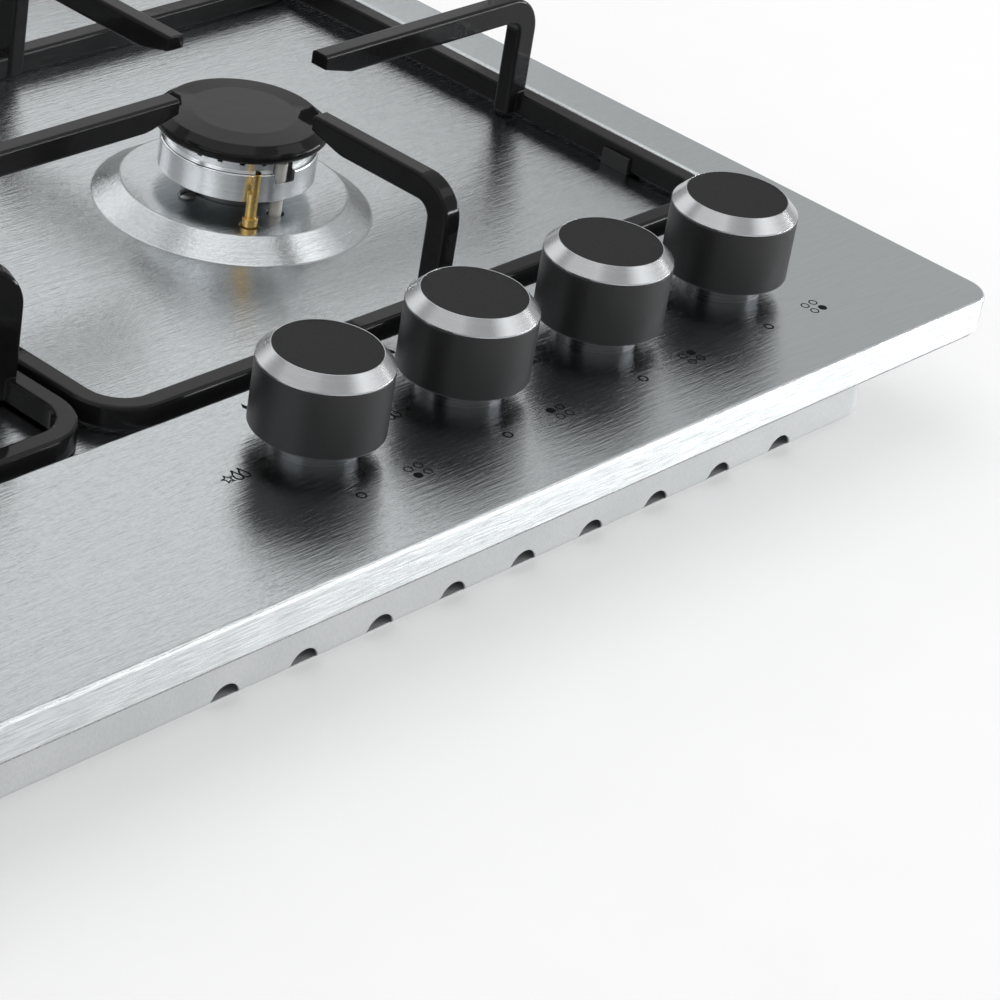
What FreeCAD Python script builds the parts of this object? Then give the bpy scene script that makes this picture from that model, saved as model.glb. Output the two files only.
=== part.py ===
"""Four-burner gas cooktop, 60 cm: a parametric document of its separate pieces.

Frame: +X to the user's right, +Y to the back, +Z up, millimetres. The origin is the centre of
the underside of the base pan. The plate's top surface is at plate_top.
"""
import FreeCAD, Part
import math
import os
import re
from FreeCAD import Vector, Placement, Rotation
import Sketcher

doc = FreeCAD.newDocument("gas_cooktop")

# ---------------------------------------------------------------- driving dimensions
DIMENSIONS = [
    # the pressed plate
    ("plate_width", 590, "overall width"),
    ("plate_depth", 510, "overall depth"),
    ("plate_top", 46, "height of the plate's face above the pan's underside"),
    ("plate_corner", 10, "corner radius seen from above"),
    ("lip_height", 11.4, "height of the turned-down lip"),
    ("lip_return", 7, "width of the flange folded in under the lip"),
    ("edge_round", 1.4, "bend radius at the plate's edge"),
    ("sheet", 0.8, "sheet thickness of plate and pan"),
    ("well_width", 550, "width of the well that the grates stand in"),
    ("well_front", -170, "front edge of the well"),
    ("well_back", 235, "back edge of the well"),
    ("well_deep", 6, "depth of the well"),
    ("well_run", 3, "horizontal run of the well's sloping wall"),
    ("well_corner", 20, "corner radius of the well"),
    ("press_round", 1.5, "bend radius of the well's and flanges' edges"),
    # burner places and sizes
    ("burner_x", 136, "burner axes, left and right of centre"),
    ("front_burner_y", -74, "axis of the front burners"),
    ("rear_burner_y", 136, "axis of the rear burners"),
    ("small_head", 24.5, "crown radius of the auxiliary burner"),
    ("middle_head", 32.5, "crown radius of the semi-rapid burners"),
    ("large_head", 43.5, "crown radius of the rapid burner"),
    ("cap_lap", 2.5, "how far a cap stands out past its crown"),
    ("plateau_lap", 11, "flat rim of the raised flange round a crown"),
    ("cone_run", 8.5, "horizontal run of the flange's cone"),
    ("cup_step", 9, "a cup is smaller than its crown by this much"),
    ("cup_rise", 5.5, "height of a cup's rim above the plate"),
    ("cup_drop", 33, "depth of a cup's floor below the plate"),
    ("cup_wall", 2.6, "wall thickness of a cup"),
    ("drum_height", 9.5, "height of a crown's drum"),
    ("port_height", 4.5, "height of a crown's port ring"),
    ("cap_height", 5.5, "thickness of a cap"),
    ("probe_lap", 3.9, "a flame probe's axis beyond the crown"),
    ("probe_height", 17.7, "a flame probe's tip above the plate"),
    ("spark_inset", 2.8, "a spark electrode's axis inside the crown's edge"),
    # knobs and taps
    ("knob_first_x", 42.2, "axis of the leftmost knob"),
    ("knob_pitch", 59.3, "knob spacing"),
    ("knob_y", -202, "knob axes"),
    ("knob_radius", 19.5, "outer radius of a knob"),
    ("knob_gap", 6.3, "a knob's lower edge above the plate"),
    ("knob_shoulder", 26.2, "height of the skirt's upper edge above the plate"),
    ("knob_height", 30.5, "height of a knob's face above the plate"),
    ("disc_radius", 15.5, "radius of the dark disc in a knob's face"),
    ("bezel_radius", 12.9, "radius of the collar on the plate"),
    ("bezel_height", 10, "height of the collar above the plate"),
    ("spindle_radius", 4, "tap spindle"),
    ("run_gap", 0.05, "radial running clearance"),
    ("push_travel", 3, "how far a knob pushes in"),
    ("tap_top", 36, "top of a tap above the pan's underside"),
    ("tap_radius", 9.5, "tap body"),
    ("rail_y", -219, "gas rail axis in front of the taps"),
    ("rail_z", 19, "gas rail height"),
    ("rail_radius", 6, "gas rail"),
    ("rail_right_x", 252, "the rail's run along the right side"),
    ("tube_radius", 3, "gas tubes"),
    ("tube_z", 22, "height of the gas tubes"),
    ("spark_lead_z", 29.5, "height of the spark leads"),
    ("probe_lead_z", 6.5, "height of the flame probes' leads"),
    ("harness_z", 12, "height of the switch wiring"),
    # base pan
    ("pan_width", 540, "outer width of the pan"),
    ("pan_depth", 466, "outer depth of the pan"),
    ("pan_corner", 10, "corner radius of the pan"),
    ("pan_bend", 3, "bend radius round the pan's underside"),
    ("pan_flange", 6, "flange turned out at the pan's rim"),
    ("vent_radius", 5.7, "half-round vents along the front bend"),
    ("vent_pitch", 29.9, "spacing of the vents"),
    ("vent_count", 9, "number of vents, below the taps"),
    ("vent_last", 224.25, "the rightmost vent"),
    # grates
    ("grate_outer", 271, "outer face of a grate's outer side bar"),
    ("grate_inner", 1.5, "half of the gap between the two grates"),
    ("grate_front", -165, "front face of a grate"),
    ("grate_back", 230, "back face of a grate"),
    ("grate_corner", 17.5, "outer corner radius of a grate"),
    ("bar_width", 6.6, "width of the frame bars"),
    ("bar_above", 2, "frame bars stand this far above the plate's face"),
    ("foot_height", 1, "rubber under the frame bars"),
    ("foot_length", 11, "length of a rubber foot along its bar"),
    ("finger_width", 6.3, "width of a finger"),
    ("finger_deep", 8.3, "depth of a finger's section"),
    ("finger_top", 37, "top of the fingers above the plate's face"),
    ("finger_bend", 13, "outer bend radius of a finger"),
    ("finger_round", 1, "rounding along a finger's edges"),
    ("bar_round", 1.1, "rounding along a frame bar's upper edges"),
    ("finger_set", 2.3, "a finger's leg stands in from the bar's outer face by this"),
    ("tip_gap", 4.5, "finger tips stay this far outside a cap"),
]

sheet = doc.addObject("Spreadsheet::Sheet", "dims")
for row, (alias, number, meaning) in enumerate(DIMENSIONS, start=1):
    sheet.set("A%d" % row, meaning)
    sheet.set("B%d" % row, str(number))
    sheet.setAlias("B%d" % row, alias)
doc.recompute()

ALIASES = {alias for alias, _, _ in DIMENSIONS}
NODES = []


def val(expression):
    """The value of an expression in the sheet's aliases."""
    return float(sheet.evalExpression(str(expression)))


def bound(expression):
    """The same expression as another object has to write it."""
    def spelled(word):
        return "<<dims>>." + word.group() if word.group() in ALIASES else word.group()
    return re.sub("[a-z_]+", spelled, str(expression))


def bind(target, prop, expression):
    target.setExpression(prop, bound(expression))


def node(item, name):
    """Register a finished sub-part under its node name."""
    item.Label = name
    NODES.append(item)
    return item


# ---------------------------------------------------------------- PartDesign helpers
def new_body(name, at=("0", "0", "0")):
    body = doc.addObject("PartDesign::Body", name)
    for axis, expression in zip("xyz", at):
        bind(body, "Placement.Base." + axis, expression)
    return body


def sketch_on(body, role, level="0", name="Sketch", turn=0):
    """A sketch on one of the body's origin planes, moved along its normal by level."""
    plane = [f for f in body.Origin.OriginFeatures if f.Role == role][0]
    sketch = body.newObject("Sketcher::SketchObject", name)
    sketch.AttachmentSupport = [(plane, "")]
    sketch.MapMode = "FlatFace"
    sketch.AttachmentOffset = Placement(Vector(0, 0, 0), Rotation(Vector(0, 0, 1), turn))
    bind(sketch, "AttachmentOffset.Base.z", level)
    return sketch


def pin_point(sketch, geometry, position, x, y):
    """Fix one point of the sketch by two bound distances from its origin."""
    for kind, expression in (("DistanceX", x), ("DistanceY", y)):
        number = sketch.addConstraint(
            Sketcher.Constraint(kind, -1, 1, geometry, position, val(expression)))
        bind(sketch, "Constraints[%d]" % number, expression)


def polygon(sketch, points):
    """A closed outline through points given as pairs of expressions."""
    places = [Vector(val(x), val(y), 0) for x, y in points]
    first = sketch.GeometryCount
    count = len(places)
    for i in range(count):
        sketch.addGeometry(Part.LineSegment(places[i], places[(i + 1) % count]), False)
    for i in range(count):
        sketch.addConstraint(
            Sketcher.Constraint("Coincident", first + i, 2, first + (i + 1) % count, 1))
    for i, (x, y) in enumerate(points):
        pin_point(sketch, first + i, 1, x, y)


def circle(sketch, radius, x="0", y="0"):
    number = sketch.addGeometry(
        Part.Circle(Vector(val(x), val(y), 0), Vector(0, 0, 1), val(radius)), False)
    limit = sketch.addConstraint(Sketcher.Constraint("Radius", number, val(radius)))
    bind(sketch, "Constraints[%d]" % limit, radius)
    pin_point(sketch, number, 3, x, y)


def rounded_rectangle(sketch, left, right, front, back, radius):
    """A rectangle between four expressions with equal rounded corners."""
    x0, x1, y0, y1, r = (val(e) for e in (left, right, front, back, radius))
    corners = [(x1 - r, y0 + r, -90), (x1 - r, y1 - r, 0), (x0 + r, y1 - r, 90), (x0 + r, y0 + r, 180)]
    straights = [((x0 + r, y0), (x1 - r, y0)), ((x1, y0 + r), (x1, y1 - r)),
                 ((x1 - r, y1), (x0 + r, y1)), ((x0, y1 - r), (x0, y0 + r))]
    first = sketch.GeometryCount
    for (cx, cy, start), ((ax, ay), (bx, by)) in zip(corners, straights):
        sketch.addGeometry(Part.LineSegment(Vector(ax, ay, 0), Vector(bx, by, 0)), False)
        ring = Part.Circle(Vector(cx, cy, 0), Vector(0, 0, 1), r)
        sketch.addGeometry(Part.ArcOfCircle(ring, math.radians(start), math.radians(start + 90)), False)
    for i in range(4):
        line, arc, following = first + 2 * i, first + 2 * i + 1, first + (2 * i + 2) % 8
        sketch.addConstraint(Sketcher.Constraint("Tangent", line, 2, arc, 1))
        sketch.addConstraint(Sketcher.Constraint("Tangent", arc, 2, following, 1))
    for i in range(1, 4):
        sketch.addConstraint(Sketcher.Constraint("Equal", first + 1, first + 2 * i + 1))
    for i, kind in enumerate(("Horizontal", "Vertical", "Horizontal", "Vertical")):
        sketch.addConstraint(Sketcher.Constraint(kind, first + 2 * i))
    limits = [("Radius", (first + 1,), radius),
              ("DistanceY", (-1, 1, first, 1), front), ("DistanceX", (-1, 1, first + 2, 1), right),
              ("DistanceY", (-1, 1, first + 4, 1), back), ("DistanceX", (-1, 1, first + 6, 1), left)]
    for kind, parts, expression in limits:
        number = sketch.addConstraint(Sketcher.Constraint(kind, *parts, val(expression)))
        bind(sketch, "Constraints[%d]" % number, expression)


def centred_rectangle(sketch, width, depth, radius):
    rounded_rectangle(sketch, "-(%s)/2" % width, "(%s)/2" % width,
                      "-(%s)/2" % depth, "(%s)/2" % depth, radius)


def extrude(body, sketch, length, cut=False, backwards=False, midplane=False):
    """A Pad or a Pocket of the sketch."""
    feature = body.newObject("PartDesign::Pocket" if cut else "PartDesign::Pad",
                             "Pocket" if cut else "Pad")
    feature.Profile = sketch
    feature.Reversed = backwards
    feature.Midplane = midplane
    bind(feature, "Length", length)
    sketch.Visibility = False
    return feature


def loft(body, sections, cut=False):
    feature = body.newObject("PartDesign::SubtractiveLoft" if cut else "PartDesign::AdditiveLoft", "Loft")
    feature.Profile = sections[0]
    feature.Sections = sections[1:]
    feature.Ruled = True
    return feature


def spin(body, sketch, cut=False):
    """A full turn of the sketch round the body's own Z axis."""
    feature = body.newObject("PartDesign::Groove" if cut else "PartDesign::Revolution", "Turned")
    feature.Profile = sketch
    feature.ReferenceAxis = (sketch, ["V_Axis"])
    feature.Angle = 360
    return feature


def turned(name, points, at=("0", "0", "0")):
    """A body turned from a profile of (radius, height) expressions."""
    body = new_body(name, at)
    sketch = sketch_on(body, "XZ_Plane")
    polygon(sketch, points)
    body.Tip = spin(body, sketch)
    return body


def round_edges(body, radius, wanted):
    """Fillet the edges of the body's tip that the test picks, in the body's own frame."""
    doc.recompute()
    base = body.Tip
    names = ["Edge%d" % (i + 1) for i, edge in enumerate(base.Shape.Edges) if wanted(edge)]
    if not names:
        raise RuntimeError("no edge to round on " + body.Name)
    feature = body.newObject("PartDesign::Fillet", "Fillet")
    feature.Base = (base, names)
    bind(feature, "Radius", radius)
    body.Tip = feature
    doc.recompute()
    if feature.Shape.isNull() or not feature.Shape.isValid():
        raise RuntimeError("rounding failed on " + body.Name)
    return feature


def flat_at(edge, height, tolerance=0.01):
    """Whether an edge lies wholly at one height."""
    box = edge.BoundBox
    return abs(box.ZMin - height) < tolerance and abs(box.ZMax - height) < tolerance


def ring_edge(height, radius):
    """A test for a full circle of this radius round the body's axis at this height."""
    def wanted(edge):
        curve = edge.Curve
        return (flat_at(edge, height) and isinstance(curve, Part.Circle)
                and abs(curve.Radius - radius) < 0.05 and math.hypot(curve.Center.x, curve.Center.y) < 0.05)
    return wanted


def polar(body, features, count):
    pattern = body.newObject("PartDesign::PolarPattern", "Around")
    pattern.Originals = features
    pattern.Axis = ([f for f in body.Origin.OriginFeatures if f.Role == "Z_Axis"][0], [""])
    pattern.Angle = 360
    pattern.Occurrences = count
    body.Tip = pattern
    return pattern


# ---------------------------------------------------------------- Part helpers
def cylinder(radius, height, at, direction=Vector(0, 0, 1), name="Cylinder"):
    item = doc.addObject("Part::Cylinder", name)
    item.Placement = Placement(Vector(0, 0, 0), Rotation(Vector(0, 0, 1), direction))
    bind(item, "Radius", radius)
    bind(item, "Height", height)
    for axis, expression in zip("xyz", at):
        bind(item, "Placement.Base." + axis, expression)
    return item


def cone(low, high, height, at):
    item = doc.addObject("Part::Cone", "Cone")
    for prop, expression in (("Radius1", low), ("Radius2", high), ("Height", height)):
        bind(item, prop, expression)
    for axis, expression in zip("xyz", at):
        bind(item, "Placement.Base." + axis, expression)
    return item


def hexagon(radius, height, at, direction=Vector(0, 0, 1)):
    item = doc.addObject("Part::Prism", "Hexagon")
    item.Polygon = 6
    item.Placement = Placement(Vector(0, 0, 0), Rotation(Vector(0, 0, 1), direction))
    bind(item, "Circumradius", radius)
    bind(item, "Height", height)
    for axis, expression in zip("xyz", at):
        bind(item, "Placement.Base." + axis, expression)
    return item


def block(size, at):
    """A box of this size whose lowest corner is at this place."""
    item = doc.addObject("Part::Box", "Block")
    for prop, expression in zip(("Length", "Width", "Height"), size):
        bind(item, prop, expression)
    for axis, expression in zip("xyz", at):
        bind(item, "Placement.Base." + axis, expression)
    return item


def fuse(*items):
    item = doc.addObject("Part::MultiFuse", "Fused")
    item.Shapes = list(items)
    return item


def subtract(base, *tools):
    item = doc.addObject("Part::Cut", "Cut")
    item.Base = base
    item.Tool = tools[0] if len(tools) == 1 else fuse(*tools)
    return item


def group(*items):
    item = doc.addObject("Part::Compound", "Group")
    item.Links = list(items)
    return item


def bent_tube(points, radius, bend):
    """A solid round bar: straight runs joined by tangent arcs, as wide as bend and the runs allow."""
    corners = [Vector(*p) for p in points]
    pieces, start = [], corners[0]

    def end_face(at, direction):
        return Part.Face(Part.Wire([Part.Circle(at, direction, radius).toShape()]))

    for before, corner, after in zip(corners, corners[1:], corners[2:]):
        into = (corner - before).normalize()
        out = (after - corner).normalize()
        half = into.getAngle(out) / 2
        shorter = min((corner - before).Length, (after - corner).Length)
        arc = min(bend, 0.45 * shorter / math.tan(half))
        enter = corner - into * arc * math.tan(half)
        leave = corner + out * arc * math.tan(half)
        centre = corner + (out - into).normalize() * (arc / math.cos(half))
        pieces.append(end_face(start, into).extrude(enter - start))
        pieces.append(end_face(enter, into).revolve(centre, into.cross(out), math.degrees(2 * half)))
        start = leave
    pieces.append(end_face(start, corners[-1] - start).extrude(corners[-1] - start))
    return pieces[0].multiFuse(pieces[1:])


def shaped(name, shape):
    item = doc.addObject("Part::Feature", name)
    item.Shape = shape
    return item


# ---------------------------------------------------------------- burners and knobs by name
BURNERS = {
    "front_left": ("-burner_x", "front_burner_y", "large_head", 36),
    "rear_left": ("-burner_x", "rear_burner_y", "middle_head", 28),
    "rear_right": ("burner_x", "rear_burner_y", "middle_head", 28),
    "front_right": ("burner_x", "front_burner_y", "small_head", 21),
}
KNOB_X = {name: "knob_first_x + %d * knob_pitch" % i for i, name in enumerate(BURNERS)}
PROBE_ANGLE = -125
PROBE_WIRE = 1
SPARK_WIRE = 1.2
LOOM_WIRE = 1
FEED_WIRE = 0.9
LEAD_BEND = 15
PLUNGER_AWAY = 15.5
SWITCH_Z = 25.5
TUBE_BEND = 12
SPARK_ANGLE = -99
SPARK_BORE = "2.35"
SCREW_ANGLES = (55, 175)
SCREW_OUT = "3.4"
BLADE_TURN = 132
GLAND_X = "-215"
GLAND_Z = "20"


def polar_place(burner, radius, angle):
    """X and Y expressions of a point beside a burner's axis."""
    x, y = BURNERS[burner][:2]
    return ("%s + (%s) * cos(%d deg)" % (x, radius, angle),
            "%s + (%s) * sin(%d deg)" % (y, radius, angle))


def probe_place(burner):
    return polar_place(burner, BURNERS[burner][2] + " + probe_lap", PROBE_ANGLE)


def spark_place(burner):
    return polar_place(burner, BURNERS[burner][2] + " - spark_inset", SPARK_ANGLE)


def screw_place(burner, angle):
    return polar_place(burner, BURNERS[burner][2] + " - cup_step + " + SCREW_OUT, angle)


# ---------------------------------------------------------------- hob plate
def hob_plate():
    body = new_body("hob_plate")
    outline = sketch_on(body, "XY_Plane", "plate_top - lip_height", "Outline")
    centred_rectangle(outline, "plate_width", "plate_depth", "plate_corner")
    body.Tip = extrude(body, outline, "lip_height")
    top = val("plate_top")
    round_edges(body, "edge_round", lambda edge: flat_at(edge, top))
    inside = sketch_on(body, "XY_Plane", "plate_top - lip_height + sheet", "Inside")
    centred_rectangle(inside, "plate_width - 2 * sheet", "plate_depth - 2 * sheet", "plate_corner - sheet")
    extrude(body, inside, "lip_height - 2 * sheet", cut=True, backwards=True)
    mouth = sketch_on(body, "XY_Plane", "plate_top - lip_height", "Mouth")
    centred_rectangle(mouth, "plate_width - 2 * lip_return", "plate_depth - 2 * lip_return",
                      "plate_corner / 2")
    extrude(body, mouth, "2 * sheet", cut=True, backwards=True)

    def well_section(level, grow, name):
        sketch = sketch_on(body, "XY_Plane", level, name)
        rounded_rectangle(sketch, "-(well_width / 2 + (%s))" % grow, "well_width / 2 + (%s)" % grow,
                          "well_front - (%s)" % grow, "well_back + (%s)" % grow,
                          "well_corner + (%s)" % grow)
        return sketch

    loft(body, [well_section("plate_top - sheet", "sheet", "DishTop"),
                well_section("plate_top - well_deep - sheet", "sheet - well_run", "DishFoot")])
    loft(body, [well_section("plate_top", "0", "WellTop"),
                well_section("plate_top - well_deep", "-well_run", "WellFloor")], cut=True)
    for x, y, head, _ in BURNERS.values():
        flat = head + " + plateau_lap"
        for kind, drop in (("Additive", "0"), ("Subtractive", "sheet")):
            flange = body.newObject("PartDesign::%sCone" % kind, kind + "Flange")
            bind(flange, "Radius1", "%s + cone_run + sheet - %s" % (flat, drop))
            bind(flange, "Radius2", "%s - (%s) / 2" % (flat, drop))
            bind(flange, "Height", "well_deep + sheet")
            bind(flange, "Placement.Base.x", x)
            bind(flange, "Placement.Base.y", y)
            bind(flange, "Placement.Base.z", "plate_top - well_deep - sheet - %s" % drop)
            body.Tip = flange
    floor = val("plate_top - well_deep")
    front, back, side = val("well_front"), val("well_back"), val("well_width / 2")

    def pressed(edge):
        """Whether the edge is a bend of the well or of a flange on the plate's upper side."""
        box = edge.BoundBox
        within = box.XMin > -side - 1 and box.XMax < side + 1 and box.YMin > front - 1 and box.YMax < back + 1
        return within and (flat_at(edge, top) or flat_at(edge, floor))

    round_edges(body, "press_round", pressed)
    holes = sketch_on(body, "XY_Plane", "plate_top", "Holes")
    for burner, (x, y, head, _) in BURNERS.items():
        circle(holes, head + " - cup_step + 0.4", x, y)
        circle(holes, "3.2", *probe_place(burner))
        circle(holes, "2.9", *spark_place(burner))
        for angle in SCREW_ANGLES:
            circle(holes, "2", *screw_place(burner, angle))
    for x in KNOB_X.values():
        circle(holes, "9", x, "knob_y")
    extrude(body, holes, "2 * sheet", cut=True)
    body.Tip = body.Group[-1]
    return node(body, "hob_plate")


# ---------------------------------------------------------------- base pan
def base_pan():
    body = new_body("base_pan")
    outline = sketch_on(body, "XY_Plane", "0", "Outline")
    centred_rectangle(outline, "pan_width", "pan_depth", "pan_corner")
    body.Tip = extrude(body, outline, "plate_top - well_deep - sheet")
    round_edges(body, "pan_bend", lambda edge: flat_at(edge, 0))
    rim = sketch_on(body, "XY_Plane", "plate_top - well_deep - 2 * sheet", "Rim")
    centred_rectangle(rim, "pan_width + 2 * pan_flange", "pan_depth + 2 * pan_flange",
                      "pan_corner + pan_flange")
    extrude(body, rim, "sheet")
    inside = sketch_on(body, "XY_Plane", "sheet", "Inside")
    centred_rectangle(inside, "pan_width - 2 * sheet", "pan_depth - 2 * sheet", "pan_corner - sheet")
    extrude(body, inside, "plate_top", cut=True, backwards=True)
    vent = sketch_on(body, "XZ_Plane", "pan_depth / 2", "Vent")
    circle(vent, "vent_radius", "vent_last - (vent_count - 1) * vent_pitch", "0")
    notch = extrude(body, vent, "sheet + 0.4", cut=True)
    vents = body.newObject("PartDesign::LinearPattern", "Vents")
    vents.Originals = [notch]
    vents.Direction = (vent, ["H_Axis"])
    bind(vents, "Length", "(vent_count - 1) * vent_pitch")
    vents.Occurrences = int(val("vent_count"))
    body.Tip = vents
    back = sketch_on(body, "XZ_Plane", "-pan_depth / 2", "BackHoles")
    circle(back, "11.5", "rail_right_x - 8", "rail_z")
    circle(back, "8.2", GLAND_X, GLAND_Z)
    body.Tip = extrude(body, back, "6", cut=True, backwards=True)
    return node(body, "base_pan")


# ---------------------------------------------------------------- burners
def burner_cup(name):
    """The fixed cup under a burner: rim, clamping flange, floor and side inlet."""
    x, y, head, _ = BURNERS[name]
    outer = head + " - cup_step"
    body = turned("cup_" + name, [
        ("5", "-cup_drop"), (outer + " - 2.5", "-cup_drop"), (outer, "-cup_drop + 3"),
        (outer, "-sheet - 3.2"), (head, "-sheet - 3.2"), (head, "-sheet"),
        (outer, "-sheet"), (outer, "cup_rise"), (outer + " - cup_wall", "cup_rise"),
        (outer + " - cup_wall", "-cup_drop + 6"), ("5", "-cup_drop + 6")], (x, y, "plate_top"))
    inlet = sketch_on(body, "YZ_Plane" if name == "front_right" else "XZ_Plane", outer + " - 2", "Inlet")
    circle(inlet, "5", "0", "tube_z - plate_top")
    boss = extrude(body, inlet, "9")
    body.Tip = boss
    through = sketch_on(body, "XY_Plane", "-sheet", "FlangeHoles")
    round_holes = [(head + " - spark_inset", SPARK_ANGLE, SPARK_BORE),
                   (head + " + probe_lap", PROBE_ANGLE, "5.6")]
    round_holes += [(outer + " + " + SCREW_OUT, angle, "1.7") for angle in SCREW_ANGLES]
    for radius, angle, size in round_holes:
        circle(through, size, "(%s) * cos(%d deg)" % (radius, angle), "(%s) * sin(%d deg)" % (radius, angle))
    body.Tip = extrude(body, through, "4", cut=True)
    air = sketch_on(body, "XY_Plane", "-cup_drop + 6", "AirHoles")
    for angle in (30, 90, 150, 210, 270, 330):
        circle(air, "2.2", "9.5 * cos(%d deg)" % angle, "9.5 * sin(%d deg)" % angle)
    body.Tip = extrude(body, air, "8", cut=True)
    return node(body, "burner_cup_" + name)


def burner_crown(name):
    """The lift-off crown: drum, port ring, mixing tube, locating spigot, notch for the spark."""
    x, y, head, ports = BURNERS[name]
    bore = head + " - cup_step - cup_wall"
    body = turned("crown_" + name, [
        ("6", "-12"), ("7.5", "-12"), ("8.5", "-2"), (bore + " - 4", "-2.5"), (bore + " - 0.4", "-2.5"),
        (bore + " - 0.4", "0"), (head + " - 0.4", "0"), (head, "0.4"), (head, "drum_height"),
        (head + " - 1.6", "drum_height"),
        (head + " - 1.6", "drum_height + port_height"), (head + " - 5.5", "drum_height + port_height"),
        (head + " - 5.5", "3"), ("6", "3")], (x, y, "plate_top + cup_rise"))
    top = val("drum_height + port_height")
    round_edges(body, "0.6", ring_edge(val("drum_height"), val(head)))
    slot = sketch_on(body, "XZ_Plane", "0", "Port")
    polygon(slot, [("-0.8", "drum_height + 2.2"), ("0.8", "drum_height + 2.2"),
                   ("0.8", "drum_height + port_height + 1"), ("-0.8", "drum_height + port_height + 1")])
    first = extrude(body, slot, head + " + 2", cut=True, backwards=False)
    polar(body, [first], ports)
    doc.recompute()
    notch = sketch_on(body, "XY_Plane", str(top + 1), "Notch", turn=SPARK_ANGLE)
    polygon(notch, [(head + " - 5.1", "-3.6"), (head + " + 1", "-3.6"),
                    (head + " + 1", "3.6"), (head + " - 5.1", "3.6")])
    extrude(body, notch, "drum_height + port_height + 1 - 6", cut=True)
    hole = sketch_on(body, "XY_Plane", "7", "SparkHole", turn=SPARK_ANGLE)
    circle(hole, SPARK_BORE, head + " - spark_inset", "0")
    body.Tip = extrude(body, hole, "9", cut=True)
    return node(body, "burner_crown_" + name)


def burner_cap(name):
    """The lift-off enamelled cap with its rounded edge and locating ring."""
    x, y, head, _ = BURNERS[name]
    edge = head + " + cap_lap"
    ring = head + " - 6"
    body = turned("cap_" + name, [
        ("0", "1.4"), (ring + " - 2.4", "1.4"), (ring + " - 2.4", "-2.4"), (ring, "-2.4"), (ring, "0"),
        (edge + " - 0.6", "0"), (edge, "0.8"), (edge, "2.6"), (edge + " - 3", "cap_height - 0.6"),
        ("(%s) * 0.6" % edge, "cap_height"), ("0", "cap_height")],
        (x, y, "plate_top + cup_rise + drum_height + port_height"))
    round_edges(body, "1.2", ring_edge(2.6, val(edge)))
    return node(body, "burner_cap_" + name)


def flame_probe(name):
    """Thermocouple: half-round blade, stem and sleeve through the plate, nut and tail under it."""
    x, y = probe_place(name)
    top = "plate_top"
    stem = cylinder("1.8", "probe_height - 2", (x, y, top + " + 2"))
    away = block(("6", "8", "9"), ("%s + 0.1 * cos(%d deg) + 4 * sin(%d deg)" % (x, BLADE_TURN, BLADE_TURN),
                                   "%s + 0.1 * sin(%d deg) - 4 * cos(%d deg)" % (y, BLADE_TURN, BLADE_TURN),
                                   top + " + probe_height - 6.6"))
    away.Placement = Placement(away.Placement.Base, Rotation(Vector(0, 0, 1), BLADE_TURN))
    tip = subtract(stem, away)
    collar = cylinder("2.5", "6", (x, y, top + " - 3"))
    nut = hexagon("5", "3", (x, y, top + " - sheet - 3"))
    tail = cylinder("2.2", "10", (x, y, top + " - sheet - 12"))
    return fuse(tip, collar, nut, tail)


def probe_lead(name):
    """Copper lead of a flame probe: down beside its cup and forward to its tap's magnet."""
    z, bx, fy, ry = val("probe_lead_z"), val("burner_x"), val("front_burner_y"), val("rear_burner_y")
    x, y = (val(e) for e in probe_place(name))
    tap_x, tap_y = val(KNOB_X[name]), val("knob_y + 6")
    lane = {"front_left": [(x, fy - 76), (tap_x, fy - 76)],
            "rear_left": [(x, ry - 66), (10, ry - 66), (10, fy - 66), (tap_x, fy - 66)],
            "rear_right": [(x, fy - 56), (tap_x, fy - 56)],
            "front_right": [(x, fy - 36), (tap_x, fy - 36)]}[name]
    path = [(x, y, val("plate_top - sheet - 12")), (x, y, z)] + [(px, py, z) for px, py in lane]
    return bent_tube(path + [(tap_x, tap_y, z)], PROBE_WIRE, LEAD_BEND)


def probe_leads():
    leads = [probe_lead(name) for name in BURNERS]
    return node(shaped("probe_leads", Part.makeCompound(leads)), "probe_leads")


def spark_electrode(name):
    """Ceramic rod with its wire, from under the plate into the crown's notch."""
    x, y = spark_place(name)
    rod = cylinder("2", "28.5", (x, y, "plate_top - 11"))
    collar = cylinder("2.8", "2.4", (x, y, "plate_top - sheet - 3.2 - 2.4"))
    wire = cylinder("0.7", "2.3", (x, y, "plate_top + 16.5"))
    return fuse(rod, collar, wire)


def jets():
    """Brass injectors screwed into the cups' floors."""
    items = []
    for x, y, _, _ in BURNERS.values():
        stem = cylinder("5", "6", (x, y, "plate_top - cup_drop"))
        head = hexagon("5.5", "5", (x, y, "plate_top - cup_drop + 6"))
        nose = cone("4", "2.2", "3.5", (x, y, "plate_top - cup_drop + 11"))
        bore = cylinder("0.6", "20", (x, y, "plate_top - cup_drop - 1"))
        items.append(subtract(fuse(stem, head, nose), bore))
    return node(group(*items), "gas_jets")


# ---------------------------------------------------------------- knobs
def knob_at(name, level):
    return (KNOB_X[name], "knob_y", level)


def knob(name):
    """Skirt with its web and boss; the ring and disc are separate."""
    r = "knob_radius"
    body = turned("knob_" + name, [
        ("spindle_radius + run_gap", "11"), ("6.4", "11"), ("6.4", "20"), (r + " - 3.2", "20"),
        (r + " - 2.4", "knob_gap"), (r + " - 0.2", "knob_gap"), (r, "knob_gap + 0.4"),
        (r, "knob_shoulder - 0.3"), (r + " - 0.4", "knob_shoulder"), (r + " - 1.4", "knob_shoulder"),
        (r + " - 1.4", "knob_shoulder - 1.2"), ("spindle_radius + run_gap", "knob_shoulder - 1.2")],
        knob_at(name, "plate_top"))
    return node(body, "knob_skirt_" + name)


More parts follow.
